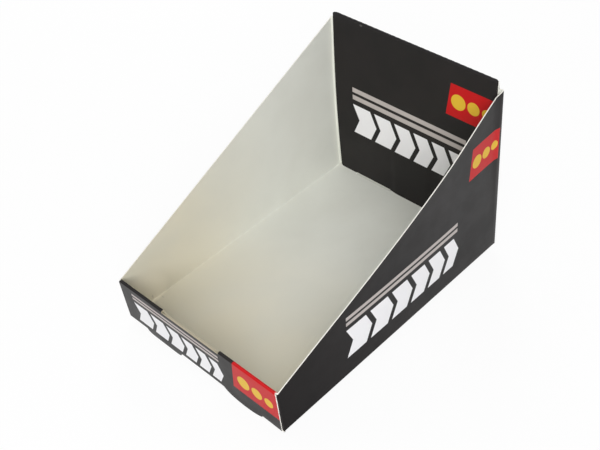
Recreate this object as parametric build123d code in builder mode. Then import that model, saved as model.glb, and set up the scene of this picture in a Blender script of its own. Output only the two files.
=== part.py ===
"""Counter display tray, folded from one die-cut sheet of solid board.

The sheet is printed on one side. Its floor, front wall and back wall make one strip that runs from front to
back. The front and back walls roll over into a second layer, which locks into slots in the floor. The two side
walls are hinged at the floor, and their corner flaps are held between the layers of the front and back walls.

Millimetres. The origin is under the middle of the tray, at the height that its feet stand on.
+X is to the right as seen from the front, +Y is to the back and +Z is up.
"""

from build123d import *
import os

# The sheet
board = 0.7
inside_bend = 0.3

# The tray over its outer faces, with heights taken from the floor's underside
tray_width = 150.0
tray_depth = 219.0
front_height = 36.0
back_height = 141.0
top_corner_radius = 1.2
panel_corner_radius = 2.0

# The side walls' top edge, below the tops of the front and back walls
side_drop_front = 1.2
side_drop_back = 5.5

# Corner flaps: length from the side wall's outer face, and how much each long edge tapers
flap_length = 45.0
flap_taper = 6.0
flap_corner_radius = 3.0

# Clearances: between the layers, beside an inner panel, and under what stands on the floor
layer_play = 0.2
side_play = 1.2
floor_play = 0.3

# Lock slots in the floor, the tabs in them, and the tongues that the slots' cuts leave as feet
slot_width = 36.0
slot_inset = 18.5
slot_play = 0.9
tab_end_play = 2.0
tab_reach = 1.4
tab_corner_radius = 1.5
tongue_corner_radius = 3.0

# Locking notch in the top band of the front wall
notch_width = 54.0
notch_offset = -3.0
notch_depth = 1.6

# What follows from the sizes above
mid = board / 2
middle_bend = inside_bend + mid
outside_bend = inside_bend + board
wall_depth = 3 * board + 2 * layer_play
foot_height = wall_depth + slot_play
half_width = tray_width / 2
half_depth = tray_depth / 2
floor_under = foot_height
floor_top = floor_under + board
front_top = floor_under + front_height
back_top = floor_under + back_height
fold_top = floor_under + outside_bend
floor_half = half_width - outside_bend
inner_panel_bottom = floor_top + floor_play
inner_panel_half = half_width - board - side_play
flap_face = half_depth - board - layer_play
slot_centre = half_width - slot_inset - slot_width / 2
tab_width = slot_width - 2 * tab_end_play

# Where each layer, slot or double wall starts along Y, the front one first
tongue_faces = (-half_depth, half_depth - board)
tab_faces = (-half_depth + wall_depth - board, half_depth - wall_depth)
slot_starts = (-half_depth + board, half_depth - foot_height)
slot_depth = foot_height - board
wall_starts = (-half_depth, half_depth - wall_depth)

# Half widths of the two double walls. The back one is no wider than the floor, so that its ends stay behind the
# bends of the side walls.
wall_halves = (half_width, floor_half)


# The strip from the front inner panel's edge, round the front wall, floor and back wall, to the back inner
# panel's edge. The line is the middle of the board.
with BuildPart() as centre_strip:
    with BuildSketch(Plane.YZ):
        with BuildLine():
            FilletPolyline(
                (-half_depth + wall_depth - mid, inner_panel_bottom),
                (-half_depth + wall_depth - mid, front_top - mid),
                (-half_depth + mid, front_top - mid),
                (-half_depth + mid, floor_under + mid),
                (half_depth - mid, floor_under + mid),
                (half_depth - mid, back_top - mid),
                (half_depth - wall_depth + mid, back_top - mid),
                (half_depth - wall_depth + mid, inner_panel_bottom),
                radius=middle_bend,
            )
        trace(line_width=board)
    extrude(amount=half_width, both=True)

    # The floor and its front and back folds stop where the side walls' folds begin
    with BuildSketch(Plane.XZ):
        for side in (-1, 1):
            with Locations((side * half_width, 0)):
                Rectangle(2 * outside_bend, 2 * fold_top)
    extrude(amount=tray_depth, both=True, mode=Mode.SUBTRACT)

    # The back wall's ends
    with BuildSketch(Plane.XZ):
        for side in (-1, 1):
            with Locations((side * half_width, 0)):
                Rectangle(2 * outside_bend, 2 * back_top)
    extrude(amount=-half_depth, mode=Mode.SUBTRACT)

    # Each inner panel is narrower than the walls' outer panels, to fit between the side walls, and has rounded
    # lower corners
    for start, top in zip(tab_faces, (front_top, back_top)):
        panel_height = top - outside_bend - inner_panel_bottom
        with BuildSketch(Plane.XZ.offset(-start)):
            with Locations((0, inner_panel_bottom + panel_height / 2)):
                Rectangle(tray_width, panel_height)
            with BuildSketch(Plane.XZ, mode=Mode.SUBTRACT):
                with Locations((0, inner_panel_bottom + panel_height / 2)):
                    Rectangle(2 * inner_panel_half, panel_height)
                fillet(vertices().group_by(Axis.Y)[0], radius=panel_corner_radius)
        extrude(amount=-board, mode=Mode.SUBTRACT)

    # Rounded top corners of the two double walls
    for start, top, wall_half in zip(wall_starts, (front_top, back_top), wall_halves):
        with BuildSketch(Plane.XZ.offset(-start)):
            for side in (-1, 1):
                with Locations((side * wall_half, top)):
                    Rectangle(2 * top_corner_radius, 2 * top_corner_radius)
                with Locations((side * (wall_half - top_corner_radius), top - top_corner_radius)):
                    Circle(top_corner_radius, mode=Mode.SUBTRACT)
        extrude(amount=-wall_depth, mode=Mode.SUBTRACT)

    # Locking notch through the front band and the top of both front panels
    with BuildSketch(Plane.XZ.offset(half_depth)):
        with Locations((notch_offset, front_top)):
            Rectangle(notch_width, 2 * notch_depth)
    extrude(amount=-wall_depth, mode=Mode.SUBTRACT)

    # Lock slots through the floor and its folds
    for start in slot_starts:
        with BuildSketch(Plane.XZ.offset(-start)):
            with Locations((-slot_centre, 0), (slot_centre, 0)):
                Rectangle(slot_width, 2 * fold_top)
        extrude(amount=-slot_depth, mode=Mode.SUBTRACT)

    # Tongues, straight below the outer panels
    for face in tongue_faces:
        with BuildSketch(Plane.XZ.offset(-face)):
            with Locations((-slot_centre, fold_top / 2), (slot_centre, fold_top / 2)):
                Rectangle(slot_width, fold_top)
            fillet(vertices().group_by(Axis.Y)[0], radius=tongue_corner_radius)
        extrude(amount=-board)

    # Lock tabs, straight below the inner panels
    tab_bottom = floor_under - tab_reach
    tab_height = inner_panel_bottom - tab_bottom
    for face in tab_faces:
        with BuildSketch(Plane.XZ.offset(-face)):
            tab_middle = tab_bottom + tab_height / 2
            with Locations((-slot_centre, tab_middle), (slot_centre, tab_middle)):
                Rectangle(tab_width, tab_height)
            fillet(vertices().group_by(Axis.Y)[0], radius=tab_corner_radius)
        extrude(amount=-board)


# The two side walls with their corner flaps, and the folds that join them to the floor.
# Again each line is the middle of the board.
with BuildPart() as side_walls:
    with BuildSketch(Plane.XY.offset(fold_top)):
        with BuildLine():
            FilletPolyline(
                (half_width - flap_length, -flap_face + mid),
                (half_width - mid, -flap_face + mid),
                (half_width - mid, flap_face - mid),
                (half_width - flap_length, flap_face - mid),
                radius=middle_bend,
            )
        trace(line_width=board)
    extrude(amount=back_height)

    # Sloping top edge, from just below the front band to below the back wall's top
    wall_front_top = front_top - side_drop_front
    wall_back_top = back_top - side_drop_back
    above = back_top + back_height
    with BuildSketch(Plane.YZ):
        Polygon(
            (-half_depth, wall_front_top),
            (-flap_face, wall_front_top),
            (flap_face, wall_back_top),
            (half_depth, wall_back_top),
            (half_depth, above),
            (-half_depth, above),
            align=None,
        )
    extrude(amount=tray_width, mode=Mode.SUBTRACT)

    # Tapered long edges and rounded free corners of the corner flaps
    flap_root = floor_half
    flap_end = half_width - flap_length
    for start, top in zip(wall_starts, (wall_front_top, wall_back_top)):
        with BuildSketch(Plane.XZ.offset(-start)):
            with Locations(((flap_root + flap_end) / 2, above / 2)):
                Rectangle(flap_root - flap_end, above)
            with BuildSketch(Plane.XZ, mode=Mode.SUBTRACT):
                Polygon(
                    (flap_root, fold_top),
                    (flap_root, top),
                    (flap_end, top - flap_taper),
                    (flap_end, fold_top + flap_taper),
                    align=None,
                )
                fillet(vertices().group_by(Axis.X)[0], radius=flap_corner_radius)
        extrude(amount=-wall_depth, mode=Mode.SUBTRACT)

    # Fold between the floor and the wall, which stops short of the corners
    with BuildSketch(Plane.XZ):
        with BuildLine():
            FilletPolyline(
                (0, floor_under + mid),
                (half_width - mid, floor_under + mid),
                (half_width - mid, fold_top + board),
                radius=middle_bend,
            )
        trace(line_width=board)
    extrude(amount=flap_face - outside_bend, both=True)

    mirror(about=Plane.YZ)


with BuildPart() as display_tray:
    add(centre_strip.part)
    add(side_walls.part)

display_tray.part.label = "display_tray"

os.makedirs("parts", exist_ok=True)
export_step(display_tray.part, "parts/display_tray.step")
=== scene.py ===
import math

import bmesh
import bpy
from mathutils import Matrix, Vector


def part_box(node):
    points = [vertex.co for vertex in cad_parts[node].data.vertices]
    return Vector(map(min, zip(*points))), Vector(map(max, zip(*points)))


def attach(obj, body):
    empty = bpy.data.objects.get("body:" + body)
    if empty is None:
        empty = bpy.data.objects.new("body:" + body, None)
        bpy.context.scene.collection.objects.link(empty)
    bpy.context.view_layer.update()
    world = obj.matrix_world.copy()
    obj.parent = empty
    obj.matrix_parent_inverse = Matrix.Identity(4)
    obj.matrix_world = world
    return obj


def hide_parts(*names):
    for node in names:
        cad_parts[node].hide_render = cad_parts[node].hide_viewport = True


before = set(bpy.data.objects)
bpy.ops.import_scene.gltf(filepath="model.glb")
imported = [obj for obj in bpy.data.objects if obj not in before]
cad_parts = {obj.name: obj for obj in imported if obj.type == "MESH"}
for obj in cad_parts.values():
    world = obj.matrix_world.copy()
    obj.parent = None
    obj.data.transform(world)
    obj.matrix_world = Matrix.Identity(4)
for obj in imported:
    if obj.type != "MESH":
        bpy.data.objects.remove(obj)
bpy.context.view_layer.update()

# A counter display tray, folded from one die-cut sheet of board: black print outside, plain board inside.
# The sheet is one mesh. It is built as slabs of board that share their end faces, first as drawn, and is then bent
# the little that the real one strays from the drawing. In tables by side, -1 is left and 1 is right, and in tables
# by side and end, the end -1 is the front and 1 is the back.

MM = 0.001

# The tray's outer sizes come from the frame. The rest repeats the drawing, or is fitted to the photograph.
half_width, half_depth, back_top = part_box("display_tray")[1]
front_height = 36.0 * MM
top_corner_radius = 1.2 * MM
panel_corner_radius = 2.0 * MM

# The sheet, and the clearances between its layers, beside an inner panel and under it
board = 0.7 * MM
inside_bend = 0.3 * MM
layer_play = 0.2 * MM
side_play = 1.2 * MM
floor_play = 0.3 * MM

# The side walls' top edge, below the tops of the front and back walls
side_drop_front = 1.2 * MM
side_drop_back = {-1: 4.3 * MM, 1: 5.5 * MM}

# How far each lower corner of the side walls, by side and end, reaches down towards the floor's level
corner_drop = {(-1, -1): 0.75 * MM, (1, -1): 1.6 * MM, (-1, 1): 0.75 * MM, (1, 1): 0.75 * MM}

# Corner flaps: length from the side wall's outer face, and how much each long edge tapers
flap_length = 45.0 * MM
flap_taper = 6.0 * MM
flap_corner_radius = 3.0 * MM

# Lock slots in the floor, and the tabs in them, which are bare board up to a little above the inner panels' edge
slot_width = 36.0 * MM
slot_inset = 18.5 * MM
slot_play = 0.9 * MM
tab_width = 34.6 * MM
tab_reach = 1.4 * MM
tab_corner_radius = 1.5 * MM
bare_height = 0.6 * MM

# Locking notch in the front wall's top band
notch_width = 54.0 * MM
notch_offset = -3.0 * MM
notch_depth = 1.6 * MM

# The feet, of which the back ones are like the left front one: the powers that make the outline squarer or rounder,
# how far the lower edge has swung in, how far the outline has moved outwards, and the least share of the full
# height that the outline keeps at its ends
foot_power = {-1: 8.0, 1: 2.0}
foot_root = {-1: 0.5, 1: 0.55}
foot_swing = {-1: 0.5 * MM, 1: 0.0}
foot_lean = {-1: 0.0, 1: 1.0 * MM}
foot_least = 0.08

# How far each end of the back wall has drawn in from the floor's side edge: the inner panel at its foot and its top,
# and the outer panel at its top
back_inner_foot = {-1: 2.7 * MM, 1: 2.2 * MM}
back_inner_top = {-1: 1.6 * MM, 1: 2.7 * MM}
back_outer_top = {-1: 2.4 * MM, 1: 3.4 * MM}
back_corner_radius = 2.4 * MM

# How far each end of the front wall's outer panel has drawn in from the side wall's outer face, at its foot and top
front_foot = {-1: 0.0, 1: 1.2 * MM}
front_crest = {-1: 1.0 * MM, 1: 0.6 * MM}

# What follows from the sizes above
mid = board / 2
middle_bend = inside_bend + mid
outside_bend = inside_bend + board
wall_depth = 3 * board + 2 * layer_play
foot_height = wall_depth + slot_play
floor_half = half_width - outside_bend
floor_under = foot_height
floor_middle = floor_under + mid
fold_top = floor_under + outside_bend
front_top = floor_under + front_height
wall_front_top = front_top - side_drop_front
panel_bottom = floor_under + board + floor_play
panel_half = half_width - board - side_play
tab_bottom = floor_under - tab_reach
slot_centre = half_width - slot_inset - slot_width / 2
flap_face = half_depth - board - layer_play
flap_end = half_width - flap_length
wall_end = flap_face - outside_bend

# The mesh: spacing across and along the tray, and steps in a bend, a rounded corner, a foot and a side wall
across_step = 1.25 * MM
along_step = 4.0 * MM
bend_steps = 6
corner_steps = 4
foot_steps = 4
wall_steps = 32

# Points closer than this are one, edges sharper than this look creased, and lengths are compared with some slack
join_distance = 0.002 * MM
crease_angle = math.radians(40)
slack = 1e-7
digits = 7
step_slack = 1e-6


def clamp(t):
    return min(1.0, max(0.0, t))


def smooth(t):
    """0 up to 0, 1 from 1 on, and a soft rise between."""
    t = clamp(t)
    return t * t * (3 - 2 * t)


def spread(stops, step):
    """The stops in order, with evenly spaced values between them, no further apart than step."""
    stops = sorted({round(s, digits) for s in stops})
    out = []
    for a, b in zip(stops, stops[1:]):
        n = max(1, math.ceil((b - a) / step - step_slack))
        out += [a + (b - a) * i / n for i in range(n)]
    return out + [stops[-1]]


def fold_line(corners, names, extra, step):
    """Follows a square-cornered line of board. Returns rows (point, left normal) and a name for each stretch.

    Corners are 2-D points on the middle of the board, joined by runs along the first or second axis. names has
    one name for each run and each bend in turn. extra maps a run's name to stops in the run's own coordinate.
    """
    rows = []
    stretches = []
    count = len(corners) - 1
    for k in range(count):
        a = Vector(corners[k])
        b = Vector(corners[k + 1])
        along_run = (b - a).normalized()
        left = Vector((-along_run.y, along_run.x))
        start = a + along_run * (middle_bend if k else 0)
        end = b - along_run * (middle_bend if k < count - 1 else 0)
        axis = 0 if abs(along_run.x) > 0.5 else 1
        low_stop, high_stop = sorted((start[axis], end[axis]))
        inner = [s for s in extra.get(names[2 * k], ()) if low_stop < s < high_stop]
        stops = spread([low_stop, high_stop] + inner, step)
        if start[axis] > end[axis]:
            stops.reverse()
        for i, stop in enumerate(stops):
            if i == 0 and rows:
                continue
            point = start.copy()
            point[axis] = stop
            rows.append((point, left))
            if i:
                stretches.append(names[2 * k])
        if k < count - 1:
            following = (Vector(corners[k + 2]) - b).normalized()
            turn = 1 if along_run.x * following.y - along_run.y * following.x > 0 else -1
            centre = end + left * middle_bend * turn
            for i in range(1, bend_steps + 1):
                spin = Matrix.Rotation(turn * math.pi / 2 * i / bend_steps, 2)
                rows.append((centre + spin @ (end - centre), spin @ left))
                stretches.append(names[2 * k + 1])
    return rows, stretches


class Sheet:
    """Collects slabs of board into one mesh. Slabs that share an end face are joined there."""

    def __init__(self):
        self.mesh = bmesh.new()
        self.seen = {}
        self.kinds = []

    def vertex(self, point):
        key = tuple(round(c / join_distance) for c in point)
        if key not in self.seen:
            self.seen[key] = self.mesh.verts.new(point)
        return self.seen[key]

    def face(self, points, kind):
        """Adds a quad, or takes away the quad of the slab that already ends there."""
        corners = []
        for point in points:
            v = self.vertex(point)
            if v not in corners:
                corners.append(v)
        if len(corners) < 3:
            return
        there = self.mesh.faces.get(corners)
        if there:
            self.mesh.faces.remove(there)
            return
        if kind not in self.kinds:
            self.kinds.append(kind)
        self.mesh.faces.new(corners).material_index = self.kinds.index(kind)

    def slab(self, rows, columns, place, present, printed):
        """place(i, j) gives the printed and the plain point. present and printed take a cell's row and column."""
        grid = [[place(i, j) for j in range(columns)] for i in range(rows)]

        def here(i, j):
            return 0 <= i < rows - 1 and 0 <= j < columns - 1 and present(i, j)

        for i in range(rows - 1):
            for j in range(columns - 1):
                if not here(i, j):
                    continue
                around = (grid[i][j], grid[i][j + 1], grid[i + 1][j + 1], grid[i + 1][j])
                self.face([p[0] for p in around], printed(i, j))
                self.face([p[1] for p in reversed(around)], "plain")
                beside = ((i - 1, j), (i, j + 1), (i + 1, j), (i, j - 1))
                for side, neighbour in enumerate(beside):
                    if not here(*neighbour):
                        a = around[side]
                        b = around[(side + 1) % 4]
                        self.face([a[1], b[1], b[0], a[0]], "edge")


def everywhere(i, j):
    return True


def round_off(reach, radius):
    """How far a rounded corner's outline has drawn in, at a distance reach from the corner's own edge."""
    if reach >= radius:
        return 0.0
    return radius - math.sqrt(max(0.0, radius**2 - (radius - max(reach, 0.0)) ** 2))


def near_corner(radius):
    """Distances from an edge at which a rounded corner gets a row of its own."""
    return [radius * (1 - math.cos(math.pi / 2 * i / corner_steps)) for i in range(1, corner_steps + 1)]


def lines_across():
    """Lines across the tray, which every stretch of the strip shares."""
    stops = [0.0, notch_offset - notch_width / 2, notch_offset + notch_width / 2]
    for side in (-1, 1):
        stops += [side * half_width, side * floor_half, side * panel_half]
        stops += [side * (slot_centre + end * slot_width / 2) for end in (-1, 1)]
        stops += [side * (slot_centre + end * tab_width / 2) for end in (-1, 1)]
    return spread(stops, across_step)


def lines_along():
    """Lines along the tray, shared by the floor, the side folds and the side walls."""
    stops = [0.0]
    for side in (-1, 1):
        stops += [side * wall_end, side * (half_depth - foot_height)]
    return spread(stops, along_step)


across = lines_across()
along = lines_along()


def in_span(x, length):
    """Whether x lies in a slot, tab or foot of that length, on either side."""
    return abs(abs(x) - slot_centre) < length / 2


def squeezed(x, z):
    """x on a tab, whose lower corners are rounded, at height z."""
    centre = math.copysign(slot_centre, x)
    return centre + (x - centre) * (1 - 2 * round_off(z - tab_bottom, tab_corner_radius) / tab_width)


def drawn_in(x, half, distance):
    """x on a panel whose end, drawn at half, has moved in by a distance. Only what is outside the slots moves."""
    start = slot_centre + slot_width / 2
    share = max(0.0, (abs(x) - start) / (half - start))
    return math.copysign(abs(x) - share * distance, x)


def outward(y):
    """0 on a double wall's inner panel, and 1 on its outer one."""
    return (abs(y) - half_depth + wall_depth - mid) / (wall_depth - board)


def front_distance(side, y, z):
    """How far an end of the front wall's band and outer panel has drawn in."""
    up = smooth((z - fold_top) / (front_top - fold_top))
    distance = outward(y) * (front_foot[side] + (front_crest[side] - front_foot[side]) * up)
    return distance + round_off(front_top - mid - z, top_corner_radius)


def back_distance(side, name, y, z):
    """How far an end of the back wall has drawn in, on the stretch of that name."""
    up = (z - fold_top) / (back_top - fold_top)
    if name == "back_outer":
        return back_outer_top[side] * up + round_off(back_top - mid - z, back_corner_radius)
    inner = back_inner_foot[side] + (back_inner_top[side] - back_inner_foot[side]) * up
    if name == "back_inner":
        return inner + round_off(z - panel_bottom, panel_corner_radius) + round_off(back_top - z, top_corner_radius)
    outer = back_outer_top[side] + back_corner_radius
    return inner + (outer - inner) * outward(y)


def strip_x(name, x, y, z):
    """Where the line drawn at x across the strip crosses the section's point (y, z), on the stretch of that name."""
    side = -1 if x < 0 else 1
    if "inner" in name and z < panel_bottom - slack and in_span(x, tab_width + slack):
        return squeezed(x, z)
    if name == "front_inner":
        return drawn_in(x, panel_half, round_off(z - panel_bottom, panel_corner_radius))
    if name.startswith("front"):
        return drawn_in(x, half_width, front_distance(side, y, z))
    if name.startswith("back") and name != "back_fold":
        return drawn_in(x, floor_half, back_distance(side, name, y, z))
    return x


def strip_rows():
    """The section through the front wall, the floor and the back wall, on the middle of the board."""
    corners = (
        (-half_depth + wall_depth - mid, tab_bottom),
        (-half_depth + wall_depth - mid, front_top - mid),
        (-half_depth + mid, front_top - mid),
        (-half_depth + mid, floor_middle),
        (half_depth - mid, floor_middle),
        (half_depth - mid, back_top - mid),
        (half_depth - wall_depth + mid, back_top - mid),
        (half_depth - wall_depth + mid, tab_bottom),
    )
    names = (
        "front_inner", "front_inner_bend", "front_band", "front_outer_bend", "front_outer", "front_fold", "floor",
        "back_fold", "back_outer", "back_outer_bend", "back_band", "back_inner_bend", "back_inner",
    )
    tab_stops = [tab_bottom + d for d in near_corner(tab_corner_radius)]
    tab_stops += [panel_bottom] + [panel_bottom + d for d in near_corner(panel_corner_radius)]
    front_stops = [front_top - notch_depth] + [front_top - d for d in near_corner(top_corner_radius)]
    back_stops = [back_top - d for d in near_corner(top_corner_radius)]
    extra = {
        "front_inner": tab_stops + front_stops,
        "front_outer": front_stops,
        "floor": along,
        "back_outer": back_stops,
        "back_inner": tab_stops + back_stops,
    }
    return fold_line(corners, names, extra, along_step)


def build_strip(sheet):
    """The front wall, the floor and the back wall."""
    rows, stretches = strip_rows()

    def place(i, j):
        point, left = rows[i]
        name = stretches[min(i, len(stretches) - 1)]
        x = strip_x(name, across[j], point.x, point.y)
        return (
            Vector((x, point.x - left.x * mid, point.y - left.y * mid)),
            Vector((x, point.x + left.x * mid, point.y + left.y * mid)),
        )

    def middle(i, j):
        y, z = (rows[i][0] + rows[i + 1][0]) / 2
        return (across[j] + across[j + 1]) / 2, y, z

    def present(i, j):
        name = stretches[i]
        x, y, z = middle(i, j)
        if name in ("front_inner", "back_inner") and z < panel_bottom:
            return in_span(x, tab_width)
        if name == "front_inner" and abs(x) > panel_half:
            return False
        if abs(x) > floor_half and (name == "floor" or name.startswith("back")):
            return False
        if name in ("front_fold", "back_fold", "floor"):
            return not (in_span(x, slot_width) and abs(y) > half_depth - foot_height)
        if y < 0 and z > front_top - notch_depth - mid:
            at_notch = abs(x - notch_offset) < notch_width / 2
            return not (at_notch and (z > front_top - notch_depth or "bend" in name or "band" in name))
        return True

    def printed(i, j):
        name = stretches[i]
        x, y, z = middle(i, j)
        if name in ("front_inner", "back_inner") and z < panel_bottom + bare_height and in_span(x, tab_width):
            return "plain"
        if name in ("front_band", "front_outer_bend", "front_outer", "front_inner_bend"):
            return "print_front"
        return "print_back" if name == "back_inner" else "print_plain"

    sheet.slab(len(rows), len(across), place, present, printed)


def build_foot(sheet, end, side):
    """A foot: board straight below the outer panel, beside a slot."""
    levels = spread([0.0, fold_top], fold_top / foot_steps)
    start = side * slot_centre - slot_width / 2
    stop = side * slot_centre + slot_width / 2
    columns = [x for x in across if start - slack < x < stop + slack]
    shape = side if end < 0 else -1
    ink = "print_front" if end < 0 else "print_plain"

    def place(i, j):
        x = columns[j]
        from_middle = abs(abs(x) - slot_centre - foot_lean[shape]) / (slot_width / 2)
        reach = max(foot_least, (1 - min(1.0, from_middle) ** foot_power[shape]) ** foot_root[shape])
        down = (fold_top - levels[i]) * reach
        y = end * half_depth - end * foot_swing[shape] * down / fold_top
        return Vector((x, y, fold_top - down)), Vector((x, y - end * board, fold_top - down))

    sheet.slab(len(levels), len(columns), place, everywhere, lambda i, j: ink)


def side_print(side):
    return "print_side" if side > 0 else "print_plain"


def side_edges(side, point):
    """Lower and upper edge of a side wall or its flap, at a point of the plan."""
    share = clamp((point.y + flap_face) / (2 * flap_face))
    top = wall_front_top + (back_top - side_drop_back[side] - wall_front_top) * share
    flap_share = max(0.0, (floor_half - point.x) / (floor_half - flap_end))
    taper = flap_taper * flap_share + round_off(point.x - flap_end, flap_corner_radius)
    at_corner = point.x > floor_half and abs(point.y) > wall_end + slack
    drop = corner_drop[side, -1 if point.y < 0 else 1] if at_corner else 0.0
    return fold_top + taper - drop, top - taper


def build_side_wall(sheet, side):
    """A side wall with its two corner flaps."""
    corners = (
        (flap_end, -flap_face + mid),
        (half_width - mid, -flap_face + mid),
        (half_width - mid, flap_face - mid),
        (flap_end, flap_face - mid),
    )
    names = ("front_flap", "front_bend", "wall", "back_bend", "back_flap")
    flap_stops = [flap_end + d for d in near_corner(flap_corner_radius)]
    extra = {"front_flap": flap_stops, "wall": along, "back_flap": flap_stops}
    columns, stretches = fold_line(corners, names, extra, along_step)
    rises = spread([0.0, 1.0], 1 / wall_steps)

    def place(i, j):
        point, left = columns[j]
        bottom, top = side_edges(side, point)
        z = bottom + (top - bottom) * rises[i]
        return (
            Vector((side * (point.x - left.x * mid), point.y - left.y * mid, z)),
            Vector((side * (point.x + left.x * mid), point.y + left.y * mid, z)),
        )

    def printed(i, j):
        return side_print(side) if stretches[j] == "wall" else "print_plain"

    sheet.slab(len(rises), len(columns), place, everywhere, printed)


def build_side_fold(sheet, side):
    """The fold between a side wall and the floor."""

    def place(i, j):
        angle = math.pi / 2 * i / bend_steps
        away = Vector((math.sin(angle), 0, -math.cos(angle)))
        centre = Vector((floor_half, along[j], fold_top))
        points = centre + away * outside_bend, centre + away * inside_bend
        return tuple(Vector((side * p.x, p.y, p.z)) for p in points)

    sheet.slab(bend_steps + 1, len(along), place, everywhere, lambda i, j: side_print(side))


# How the real sheet strays from its drawing, in millimetres, at the floor's corners and at the walls' top corners,
# by side and end
floor_strays = {
    (-1, -1): (-0.9, 0.5, -0.7),
    (1, -1): (1.3, -0.9, -0.3),
    (-1, 1): (0.6, 0, 0),
    (1, 1): (1.2, 0.6, 0.8),
}
top_strays = {
    (-1, -1): (-1.9, -1.5, 0.4),
    (1, -1): (-0.4, -1.3, 0),
    (-1, 1): (1.1, 0.3, -0.7),
    (1, 1): (1, 0, 0),
}

# The right wall's free edge bows out, most just behind its middle. It draws in again over the shares of the depth
# from waist_start, and is back on its line at waist_end. The powers set where the bow is widest, and how little of
# it reaches the floor.
right_bow = 3.8 * MM
bow_power = 1.2
edge_power = 1.5
right_waist = 1.6 * MM
waist_start = 0.7
waist_rise = 0.25
waist_end = 0.995
waist_fall = 0.03

# The front fold arches up between the feet
front_lift = 0.8 * MM

# The front wall's inner panel lies between these depths, and presses against the outer one at the notch, less so
# below it and towards its ends
front_inner_span = (-half_depth + 2 * board, -half_depth + 1.2 * wall_depth)
notch_pinch = 1.0 * MM
pinch_height = 12.0 * MM
pinch_power = 10

# The back wall's inner panel lies between these depths, and stands forward of its line: at its foot, where it is
# twice this between the tabs, and at half its height
back_inner_span = (half_depth - wall_depth - MM, half_depth - wall_depth + 1.5 * board)
back_foot_forward = 0.8 * MM
back_belly = 1.75 * MM
beside_tab = 6.0 * MM
foot_fade_power = 4

# Small nicks along the crease at the back wall's top
nick_pitch = 5.0 * MM
nick_half = 1.3 * MM
nick_depth = 0.35 * MM


def corner_shift(across_share, depth, up, off_counter):
    """The strays of the corners, blended over the sheet. What stands on the counter isn't moved up or down."""
    shift = Vector((0.0, 0.0, 0.0))
    free = Vector((1.0, 1.0, off_counter))
    for side, side_share in ((-1, 1 - across_share), (1, across_share)):
        for end, end_share in ((-1, 1 - depth), (1, depth)):
            for strays, level_share in ((floor_strays, 1 - up), (top_strays, up)):
                shift += Vector(strays[side, end]) * free * MM * side_share * end_share * level_share
    return shift


def strayed(p):
    """Where a point of the drawn sheet lies on the real one."""
    x, y, z = p
    depth = clamp((y + half_depth) / (2 * half_depth))
    across_share = clamp((x + half_width) / (2 * half_width))
    top_here = front_top + (back_top - front_top) * depth
    up = clamp((z - fold_top) / (top_here - fold_top))
    off_counter = clamp(z / floor_under)
    shift = corner_shift(across_share, depth, up, off_counter)

    # The right wall's free edge
    at_right = smooth(x / half_width)
    swell = math.sin(math.pi * depth**bow_power) * up**edge_power
    shift.x += right_bow * swell * at_right
    waist = smooth((depth - waist_start) / waist_rise) * smooth((waist_end - depth) / waist_fall) * up**edge_power
    shift.x -= right_waist * waist * at_right

    # The front fold
    arch = math.cos(math.pi / 2 * clamp(abs(x) / half_width)) * (1 - up) * (1 - depth) ** 2
    shift.z += front_lift * arch * off_counter

    # The front wall's inner panel, at the notch
    if front_inner_span[0] < y < front_inner_span[1] and z < front_top + board:
        aside = clamp(abs(x - notch_offset) / (notch_width / 2))
        near_top = smooth((z - front_top + pinch_height) / pinch_height)
        shift.y -= notch_pinch * (1 - aside**pinch_power) * near_top

    # The back wall's inner panel
    if back_inner_span[0] < y < back_inner_span[1] and z < back_top - board:
        rise = z / (back_top - board)
        between_tabs = smooth((slot_centre - slot_width / 2 - abs(x)) / beside_tab)
        shift.y -= back_foot_forward * (1 - rise + between_tabs * clamp(1 - rise) ** foot_fade_power)
        shift.y -= back_belly * math.sin(math.pi * rise)

    # The crease at the back wall's top
    if y > half_depth - board and z > back_top - board:
        off_nick = abs(x - nick_pitch * round(x / nick_pitch))
        shift.z -= nick_depth * max(0.0, 1 - off_nick / nick_half)
    return Vector(p) + shift


def build_sheet():
    """The folded sheet as one closed mesh. Returns its object, and its kinds of surface in their slots' order."""
    sheet = Sheet()
    build_strip(sheet)
    for end in (-1, 1):
        for side in (-1, 1):
            build_foot(sheet, end, side)
    for side in (-1, 1):
        build_side_wall(sheet, side)
        build_side_fold(sheet, side)
    for v in sheet.mesh.verts:
        v.co = strayed(v.co)
    bmesh.ops.recalc_face_normals(sheet.mesh, faces=sheet.mesh.faces)

    # Edges that are left where joined slabs gave up their end faces
    for edge in [e for e in sheet.mesh.edges if not e.link_faces]:
        sheet.mesh.edges.remove(edge)

    mesh = bpy.data.meshes.new("folded_sheet")
    sheet.mesh.to_mesh(mesh)
    sheet.mesh.free()
    mesh.shade_smooth()
    mesh.set_sharp_from_angle(angle=crease_angle)
    piece = bpy.data.objects.new("folded_sheet", mesh)
    bpy.context.scene.collection.objects.link(piece)
    return piece, sheet.kinds


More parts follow.
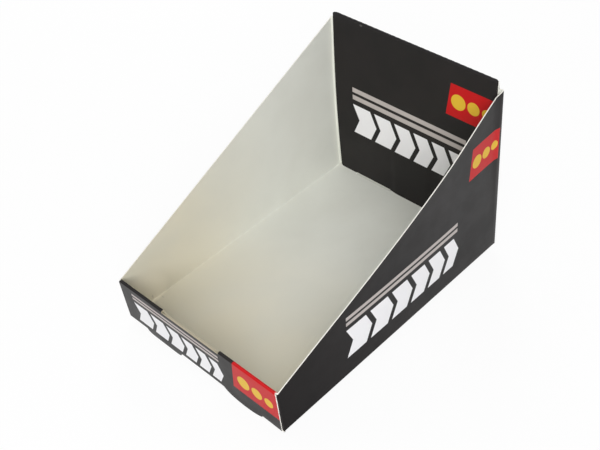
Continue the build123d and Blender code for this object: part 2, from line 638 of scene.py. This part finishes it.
class Nodes:
    """Short forms for building a material's node tree."""

    def __init__(self, name):
        self.material = bpy.data.materials.new(name)
        self.material.use_nodes = True
        self.tree = self.material.node_tree
        self.shader = self.tree.nodes["Principled BSDF"]

    def new(self, kind, inputs=None, **settings):
        node = self.tree.nodes.new("ShaderNode" + kind)
        for key, value in settings.items():
            setattr(node, key, value)
        for key, value in (inputs or {}).items():
            self.put(node.inputs[key], value)
        return node

    def put(self, socket, value):
        if isinstance(value, bpy.types.NodeSocket):
            self.tree.links.new(value, socket)
        else:
            socket.default_value = value

    def math(self, operation, *values):
        node = self.new("Math", operation=operation)
        for socket, value in zip(node.inputs, values):
            self.put(socket, value)
        return node.outputs[0]

    def add(self, a, b):
        return self.math("ADD", a, b)

    def less(self, a, b):
        return self.math("SUBTRACT", a, b)

    def times(self, a, b):
        return self.math("MULTIPLY", a, b)

    def most(self, values):
        out = values[0]
        for value in values[1:]:
            out = self.math("MAXIMUM", out, value)
        return out

    def slope(self, value, start, end, low=0.0, high=1.0, curve="LINEAR"):
        """From low to high, as value goes from start to end."""
        limits = {"Value": value, 1: start, 2: end, 3: low, 4: high}
        return self.new("MapRange", limits, interpolation_type=curve).outputs[0]

    def ramp(self, value, start, end, low=0.0, high=1.0):
        """A slope with soft ends."""
        return self.slope(value, start, end, low, high, curve="SMOOTHSTEP")

    def between(self, value, start, end, soft):
        """1 where value lies between start and end, with edges soft wide."""
        rise = self.ramp(value, start - soft, start + soft)
        fall = self.ramp(value, end - soft, end + soft, low=1.0, high=0.0)
        return self.times(rise, fall)

    def mix(self, share, a, b):
        node = self.new("Mix", data_type="RGBA")
        self.put(node.inputs["Factor"], share)
        self.put(node.inputs["A"], a)
        self.put(node.inputs["B"], b)
        return node.outputs["Result"]

    def place(self):
        """The three coordinates in the piece's own frame, in metres."""
        return self.new("SeparateXYZ", {0: self.new("TexCoord").outputs["Object"]}).outputs

    def noise(self, scale, detail=3.0, roughness=0.55):
        where = self.new("TexCoord").outputs["Object"]
        node = self.new("TexNoise", {"Vector": where, "Scale": scale, "Detail": detail, "Roughness": roughness})
        return node.outputs["Fac"]

    def bump(self, height, distance, strength):
        node = self.new("Bump", {"Height": height, "Distance": distance, "Strength": strength})
        self.put(self.shader.inputs["Normal"], node.outputs[0])


def rgb(red, green, blue):
    """Screen colour, 0 to 255, as the linear colour that a shader takes."""
    def linear(c):
        c /= 255
        return c / 12.92 if c <= 0.04045 else ((c + 0.055) / 1.055) ** 2.4
    return linear(red), linear(green), linear(blue), 1.0


INK_BLACK = rgb(31, 29, 29)
INK_BLACK_PALE = rgb(36, 33, 33)
INK_SPECK = rgb(120, 116, 112)
INK_WHITE = rgb(236, 235, 237)
INK_GREY = rgb(184, 176, 172)
INK_RED = rgb(188, 20, 24)
INK_YELLOW = rgb(218, 177, 52)
BOARD = rgb(221, 222, 214)
# The next colour is painted shade: the board's darker, warmer tone towards the front.
BOARD_SHADED_WARM = rgb(211, 204, 182)
BOARD_DULL = rgb(203, 203, 193)
BOARD_FIBRE = rgb(176, 168, 150)
BOARD_EDGE = rgb(240, 238, 232)
BOARD_EDGE_DULL = rgb(222, 218, 208)
# The next colour is painted shade on the cut edges in the notch.
EDGE_SHADE = rgb(168, 157, 132)
FLOOR_PALE = rgb(235, 235, 235)

# The sheen of the varnish, which is weaker on the back panel
print_gloss = 0.22
back_gloss = 0.15

# Half the width of a printed shape's soft edge
print_soft = 0.12 * MM

# Small marks: (centre, radii, strength, colour), in millimetres. The print has a light scuff at the back wall's top.
# On the board, a paler patch of painted light lightens the shaded left front corner, and two faint dark strokes of
# painted shade lie along the fold between the left wall and the floor there.
print_marks = (((-44.6, 107.0, 142.3), (1.6, 1.5, 1.1), 0.25, (140, 138, 134)),)
board_light_and_shade = (
    # Painted light: a paler patch that lightens the shaded left front corner.
    ((-76, -100, 9), (5, 30, 26), 0.9, (238, 230, 208)),
    # Painted shade: two faint dark strokes along the fold between the left wall and the floor, near the front.
    ((-74.5, -88.6, 6.5), (1.6, 0.7, 2.6), 0.25, (90, 82, 70)),
    ((-72.0, -82.5, 4.1), (1.7, 0.5, 1.5), 0.25, (90, 82, 70)),
)


def spot(n, centre, radii):
    """1 at the centre, falling softly to 0 at the radii, in millimetres."""
    squares = []
    for value, middle, radius in zip(n.place(), centre, radii):
        off = n.times(n.less(value, middle * MM), 1 / (radius * MM))
        squares.append(n.times(off, off))
    return n.ramp(n.add(n.add(squares[0], squares[1]), squares[2]), start=0.2, end=1.0, low=1.0, high=0.0)


def marked(n, colour, marks):
    """The colour with small marks on it: a scuff on the print, and patches of painted light and shade on the board.
    """
    for centre, radii, strength, ink in marks:
        colour = n.mix(n.times(spot(n, centre, radii), strength), colour, rgb(*ink))
    return colour


def printed_material(name, design=None, gloss=print_gloss):
    """Black ink under a thin matt varnish. design(nodes) gives the shapes printed on it, as (share, ink) layers."""
    n = Nodes(name)
    colour = n.mix(n.ramp(n.noise(scale=22.0), start=0.3, end=0.7), INK_BLACK, INK_BLACK_PALE)
    for share, ink in design(n) if design else ():
        colour = n.mix(share, colour, ink)
    specks = n.ramp(n.noise(scale=420.0, detail=4.0, roughness=0.7), start=0.74, end=0.80)
    colour = n.mix(n.times(specks, 0.25), colour, INK_SPECK)
    colour = marked(n, colour, print_marks)
    roughness = n.ramp(n.noise(scale=60.0), start=0.3, end=0.7, low=0.36, high=0.44)
    n.put(n.shader.inputs["Base Color"], colour)
    n.put(n.shader.inputs["Roughness"], roughness)
    n.shader.inputs["Specular IOR Level"].default_value = gloss
    n.bump(n.noise(scale=900.0, detail=2.0), distance=0.02 * MM, strength=0.5)
    return n.material


def plain_material():
    """The board's unprinted side: pale, with painted shade that makes it darker and warmer towards the front, faint
    fibres, and small patches of painted light and shade.
    """
    n = Nodes("plain_board")
    x, y, z = n.place()
    # Painted shade: the board is darker and warmer towards the front, standing in for the shade near the front wall
    # and the warm light bounced inside the tray.
    uneven_y = n.add(y, n.times(n.noise(scale=9.0, detail=2.0), 0.05))
    front_shade = n.ramp(uneven_y, start=-75 * MM, end=70 * MM, low=1.0, high=0.0)
    colour = n.mix(front_shade, BOARD, BOARD_SHADED_WARM)
    dull = n.ramp(n.noise(scale=16.0, detail=4.0), start=0.35, end=0.7)
    colour = n.mix(n.times(dull, 0.35), colour, BOARD_DULL)
    fibres = n.ramp(n.noise(scale=1600.0, detail=4.0, roughness=0.7), start=0.62, end=0.8)
    colour = n.mix(n.times(fibres, 0.25), colour, BOARD_FIBRE)
    colour = marked(n, colour, board_light_and_shade)
    n.put(n.shader.inputs["Base Color"], colour)
    n.shader.inputs["Roughness"].default_value = 0.8
    n.bump(n.noise(scale=1400.0, detail=3.0), distance=0.03 * MM, strength=0.6)
    return n.material


def edge_material():
    """The board's cut edges: nearly white, and darker and browner with painted shade in the notch, where the inner
    panel's edge lies in shadow. The shaded stretch's left end strays outwards a little.
    """
    n = Nodes("cut_edge")
    colour = n.mix(n.noise(scale=700.0), BOARD_EDGE, BOARD_EDGE_DULL)
    x, y, z = n.place()
    # Painted shade: the cut edges at the notch's top are darker and browner, standing in for the shadow on the inner
    # panel's edge.
    left_end = notch_offset - 0.55 * notch_width
    right_end = notch_offset + 0.5 * notch_width
    in_notch = n.between(x, left_end, right_end, soft=0.5 * MM)
    at_top = n.between(z, front_top - 4 * MM, front_top + 2 * MM, soft=0.1 * MM)
    at_front = n.math("LESS_THAN", y, -half_depth + 2 * wall_depth)
    notch_shade = n.times(n.times(in_notch, at_top), at_front)
    colour = n.mix(n.times(notch_shade, 0.9), colour, EDGE_SHADE)
    n.put(n.shader.inputs["Base Color"], colour)
    n.shader.inputs["Roughness"].default_value = 0.9
    return n.material


# A row of chevrons: how many, how far each leans as a share of its half height, and the gap between two as a share
# of the mean pitch. The red field leans too.
chevron_count = 6
chevron_lean = 0.45
chevron_gap = 0.2
field_lean = 0.12


def chevrons(n, h, v, start, end, bottom, top):
    """A row of chevrons that point to the right, each narrower than the one before."""
    middle = (bottom + top) / 2
    from_middle = n.math("ABSOLUTE", n.less(v, middle))
    u = n.add(h, n.times(from_middle, chevron_lean))
    tip = chevron_lean * (top - bottom) / 2
    length = end - start - tip
    gap = chevron_gap * length / (chevron_count - 1)
    weights = [2 * chevron_count - k for k in range(chevron_count)]
    scale = (length - gap * (chevron_count - 1)) / sum(weights)
    masks = []
    at = start + tip
    for weight in weights:
        masks.append(n.between(u, at, at + weight * scale, print_soft))
        at += weight * scale + gap
    return n.times(n.most(masks), n.between(v, bottom, top, print_soft))


def rectangle(n, h, v, start, end, bottom, top):
    return n.times(n.between(h, start, end, print_soft), n.between(v, bottom, top, print_soft))


def disc(n, h, v, centre_h, centre_v, radius):
    dh = n.less(h, centre_h)
    dv = n.less(v, centre_v)
    far = n.math("SQRT", n.add(n.times(dh, dh), n.times(dv, dv)))
    return n.ramp(far, radius - print_soft, radius + print_soft, low=1.0, high=0.0)


def in_metres(sizes):
    return [MM * size for size in sizes]


def motif(n, h, v, row, stripes, field, discs):
    """White chevrons, grey stripes, and a red field with yellow discs, on a face with axes h and v.

    row, each stripe and field are (start, end, bottom, top), and each disc is (h, v, radius), in millimetres.
    """
    layers = [(chevrons(n, h, v, *in_metres(row)), INK_WHITE)]
    for stripe in stripes:
        layers.append((rectangle(n, h, v, *in_metres(stripe)), INK_GREY))
    start, end, bottom, top = in_metres(field)
    u = n.less(h, n.times(n.less(v, bottom), field_lean))
    layers.append((rectangle(n, u, v, start, end, bottom, top), INK_RED))
    for sizes in discs:
        layers.append((disc(n, h, v, *in_metres(sizes)), INK_YELLOW))
    return layers


def front_design(n):
    x, y, z = n.place()
    return motif(
        n, x, n.less(z, floor_under),
        row=(-64, 24, 4.5, 23),
        stripes=((-64, 22, 26.0, 28.0), (-64, 22, 29.5, 31.5)),
        field=(33, 90, 11, 60),
        discs=((44, 22.5, 5.4), (56, 22, 4.6), (66.5, 21.5, 3.8)),
    )


def back_design(n):
    x, y, z = n.place()
    return motif(
        n, x, n.less(z, floor_under),
        row=(-54, 51, 43, 69),
        stripes=((-54, 50, 73.5, 77.5), (-54, 50, 80.0, 84.0)),
        field=(32, 90, 99, 125),
        discs=((42, 112, 6.0), (54.5, 112, 5.0), (65.5, 112, 4.0)),
    )


def side_design(n):
    x, y, z = n.place()
    return motif(
        n, n.add(y, half_depth), n.less(z, floor_under),
        row=(60, 174, 16, 42),
        stripes=((60, 172, 46.0, 49.0), (60, 172, 51.0, 54.0)),
        field=(183, 260, 82, 107),
        discs=((191.5, 94, 5.0), (202, 94.5, 4.2), (211, 95, 3.4)),
    )


def surface_material(kind):
    """The material of one kind of surface of the sheet."""
    if kind == "plain":
        return plain_material()
    if kind == "edge":
        return edge_material()
    if kind == "print_back":
        return printed_material(kind, back_design, back_gloss)
    return printed_material(kind, {"print_front": front_design, "print_side": side_design}.get(kind))


def add_tray():
    piece, kinds = build_sheet()
    for kind in kinds:
        piece.data.materials.append(surface_material(kind))
    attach(piece, "root")
    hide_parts("display_tray")


# The floor lies just under the feet, and this share of what the camera sees there is white
floor_size = 12.0
floor_gap = 0.2 * MM
floor_white_share = 0.92

# What the world gives as light, and the strength that the camera sees as white
world_strength = 0.3
world_tint = (0.98, 0.99, 1.0, 1)
white_strength = 1.0

# The square lamps face a point above the tray's floor, all from one distance: name, degrees from the front towards
# the right, degrees up, watts, and whether gloss mirrors the lamp
lamp_size = 0.6
lamp_distance = 1.3
lamp_target = Vector((0, 0, 0.05))
lamps = (
    ("key_high", 45, 55, 6.1, True),
    ("key_low", 45, 25, 10.0, True),
    ("left", -90, 55, 2.0, True),
    ("back_left", -135, 25, 9.0, False),
)

# The photograph's viewing angle, from a camera fitted to the tray's corners
camera_place = Vector((0.3850, -0.3572, 0.5326))
camera_target = Vector((0.0008, -0.0103, 0.0634))
camera_roll = math.radians(-6.0)
camera_lens = 62.65
camera_sensor = 36.0


def look_at(obj, place, target, roll=0.0):
    """Puts a camera or lamp at a place, facing the target."""
    turn = (target - place).to_track_quat("-Z", "Y").to_matrix()
    obj.matrix_world = Matrix.Translation(place) @ (turn @ Matrix.Rotation(roll, 3, "Z")).to_4x4()


def floor_mirrored(n):
    """What gloss mirrors of the floor.

    A diagonal line runs through the tray's right front corner. On the right of it the floor is dim at the front and
    brighter to the back. On the left of it the floor is bright at the left and a little dimmer to the right.
    """
    x, y, z = n.new("SeparateXYZ", {0: n.new("NewGeometry").outputs["Position"]}).outputs
    off_right = n.add(n.less(x, half_width), n.add(y, half_depth))
    right_side = n.ramp(off_right, start=-6 * MM, end=6 * MM)
    along_right = n.slope(y, start=-120 * MM, end=150 * MM, low=0.12, high=0.9)
    along_front = n.slope(x, start=-90 * MM, end=60 * MM, low=1.0, high=0.84)
    front_part = n.times(n.less(1.0, right_side), along_front)
    return n.add(n.times(right_side, along_right), front_part)


def add_floor():
    """A pale floor that keeps the tray's shadow, and that the camera sees as nearly white."""
    bpy.ops.mesh.primitive_plane_add(size=floor_size, location=(0, 0, -floor_gap))
    floor = bpy.context.object
    floor.name = "floor"
    n = Nodes("pale_floor")
    n.put(n.shader.inputs["Base Color"], FLOOR_PALE)
    n.shader.inputs["Roughness"].default_value = 0.9
    paths = n.new("LightPath").outputs
    camera = paths["Is Camera Ray"]
    strength = n.add(camera, n.times(n.less(1.0, camera), floor_mirrored(n)))
    glow = n.new("Emission", {"Color": (1, 1, 1, 1), "Strength": strength})
    share = n.times(n.most([camera, paths["Is Glossy Ray"]]), floor_white_share)
    both = n.new("MixShader", {0: share, 1: n.shader.outputs[0], 2: glow.outputs[0]})
    n.tree.links.new(both.outputs[0], n.tree.nodes["Material Output"].inputs["Surface"])
    floor.data.materials.append(n.material)


def add_world():
    """A weak even light, which the camera sees as white."""
    world = bpy.data.worlds.new("studio")
    bpy.context.scene.world = world
    world.use_nodes = True
    tree = world.node_tree
    background = tree.nodes["Background"]
    background.inputs["Color"].default_value = world_tint
    background.inputs["Strength"].default_value = world_strength
    white = tree.nodes.new("ShaderNodeBackground")
    white.inputs["Strength"].default_value = white_strength
    paths = tree.nodes.new("ShaderNodeLightPath")
    mix = tree.nodes.new("ShaderNodeMixShader")
    tree.links.new(paths.outputs["Is Camera Ray"], mix.inputs[0])
    tree.links.new(background.outputs[0], mix.inputs[1])
    tree.links.new(white.outputs[0], mix.inputs[2])
    tree.links.new(mix.outputs[0], tree.nodes["World Output"].inputs["Surface"])


def add_lamp(name, from_front, up, power, mirrored):
    lamp = bpy.data.lights.new(name, "AREA")
    lamp.shape = "SQUARE"
    lamp.size = lamp_size
    lamp.energy = power
    holder = bpy.data.objects.new(name, lamp)
    bpy.context.scene.collection.objects.link(holder)
    holder.visible_glossy = mirrored
    turn, rise = math.radians(from_front), math.radians(up)
    away = Vector((math.sin(turn) * math.cos(rise), -math.cos(turn) * math.cos(rise), math.sin(rise)))
    look_at(holder, lamp_target + lamp_distance * away, lamp_target)


def add_camera():
    data = bpy.data.cameras.new("camera")
    data.sensor_width = camera_sensor
    data.lens = camera_lens
    camera = bpy.data.objects.new("camera", data)
    bpy.context.scene.collection.objects.link(camera)
    look_at(camera, camera_place, camera_target, camera_roll)
    bpy.context.scene.camera = camera


add_tray()
add_floor()
add_world()
for lamp in lamps:
    add_lamp(*lamp)
add_camera()
bpy.context.scene.view_settings.view_transform = "Standard"
